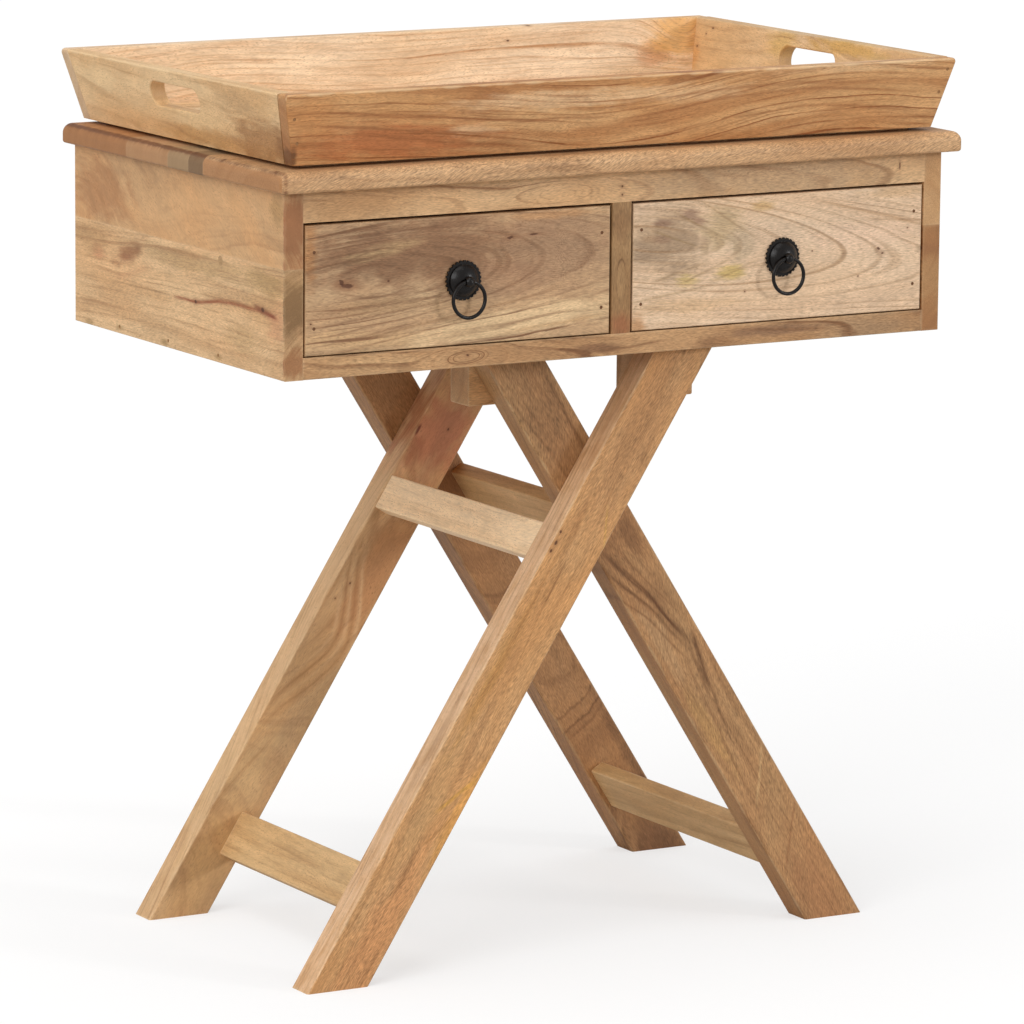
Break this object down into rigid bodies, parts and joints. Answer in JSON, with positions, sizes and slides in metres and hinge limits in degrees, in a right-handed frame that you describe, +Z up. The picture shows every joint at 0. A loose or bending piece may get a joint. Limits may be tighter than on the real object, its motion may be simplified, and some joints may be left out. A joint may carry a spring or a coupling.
{
  "type": "side table",
  "caption": "Wooden side table: lift-off tray with flared walls and hand slots on a flat case with drawers and ring pulls, carried by crossed leg frames.",
  "frame": {"origin": "on the floor, under the middle of the table's outline", "axes": "+X to the table's right as seen from the drawers' side, +Y to its back (drawers open towards -Y), +Z up"},
  "size_m": [0.65, 0.4116, 0.747],
  "materials": {
    "tray_wood": "satin oiled",
    "tray_floor_wood": "satin oiled",
    "tabletop_wood": "satin oiled",
    "case_side_wood": "satin oiled",
    "case_front_wood": "satin oiled",
    "case_inner_wood": "sanded",
    "left_drawer_wood": "satin oiled",
    "right_drawer_wood": "satin oiled",
    "drawer_box_wood": "sanded",
    "leg_wood": "satin oiled",
    "stretcher_wood": "satin oiled",
    "block_wood": "sanded",
    "plug_wood": "satin oiled",
    "dowel_wood": "sanded",
    "black_iron": "satin blackened",
    "nail_steel": "dull",
    "screw_steel": "satin zinc"
  },
  "bodies": {
    "table": {"side_nails": "nail_steel", "tabletop_plank_1": "tabletop_wood", "tabletop_plank_2": "tabletop_wood", "tabletop_plank_3": "tabletop_wood", "tabletop_plank_4": "tabletop_wood", "tabletop_plank_5": "tabletop_wood", "left_side_lower_plank": "case_side_wood", "left_side_upper_plank": "case_side_wood", "right_side_lower_plank": "case_side_wood", "right_side_upper_plank": "case_side_wood", "top_rail": "case_front_wood", "bottom_front_plank": "case_front_wood", "bottom_rear_plank": "case_front_wood", "centre_partition": "case_front_wood", "back_panel": "case_inner_wood", "left_top_cleat": "case_inner_wood", "right_top_cleat": "case_inner_wood", "cleat_screws": "screw_steel", "frame_screws": "screw_steel", "left_side_plug": "plug_wood", "left_frame_front_leg": "leg_wood", "left_frame_rear_leg": "leg_wood", "right_frame_front_leg": "leg_wood", "right_frame_rear_leg": "leg_wood", "left_frame_upper_stretcher": "stretcher_wood", "left_frame_lower_stretcher": "stretcher_wood", "right_frame_upper_stretcher": "stretcher_wood", "right_frame_lower_stretcher": "stretcher_wood", "left_frame_front_block": "block_wood", "left_frame_rear_block": "block_wood", "right_frame_front_block": "block_wood", "right_frame_rear_block": "block_wood", "stretcher_dowels": "dowel_wood"},
    "tray": {"tray_front_board": "tray_wood", "tray_back_board": "tray_wood", "tray_left_end": "tray_wood", "tray_right_end": "tray_wood", "tray_floor_front_plank": "tray_floor_wood", "tray_floor_rear_plank": "tray_floor_wood", "tray_corner_nails": "nail_steel"},
    "left_drawer": {"left_drawer_nails": "nail_steel", "left_drawer_front": "left_drawer_wood", "left_drawer_left_side": "drawer_box_wood", "left_drawer_right_side": "drawer_box_wood", "left_drawer_back": "drawer_box_wood", "left_drawer_bottom": "drawer_box_wood", "left_drawer_rosette": "black_iron", "left_drawer_knob": "black_iron", "left_drawer_nut": "black_iron"},
    "left_ring": {"left_drawer_ring": "black_iron"},
    "right_drawer": {"right_drawer_nails": "nail_steel", "right_drawer_front": "right_drawer_wood", "right_drawer_left_side": "drawer_box_wood", "right_drawer_right_side": "drawer_box_wood", "right_drawer_back": "drawer_box_wood", "right_drawer_bottom": "drawer_box_wood", "right_drawer_rosette": "black_iron", "right_drawer_knob": "black_iron", "right_drawer_nut": "black_iron"},
    "right_ring": {"right_drawer_ring": "black_iron"}
  },
  "joints": [
    {"name": "tray_lift", "type": "slide", "parent": "table", "child": "tray", "axis": [0, 0, 1], "range_m": [0, 0.12]},
    {"name": "left_drawer_slide", "type": "slide", "parent": "table", "child": "left_drawer", "axis": [0, -1, 0], "range_m": [0, 0.25]},
    {"name": "left_ring_swing", "type": "hinge", "parent": "left_drawer", "child": "left_ring", "pos_m": [-0.15, -0.2008, 0.5869], "axis": [-1, 0, 0], "range_deg": [-16, 196]},
    {"name": "right_drawer_slide", "type": "slide", "parent": "table", "child": "right_drawer", "axis": [0, -1, 0], "range_m": [0, 0.25]},
    {"name": "right_ring_swing", "type": "hinge", "parent": "right_drawer", "child": "right_ring", "pos_m": [0.156, -0.2008, 0.5869], "axis": [-1, 0, 0], "range_deg": [-16, 196]}
  ]
}
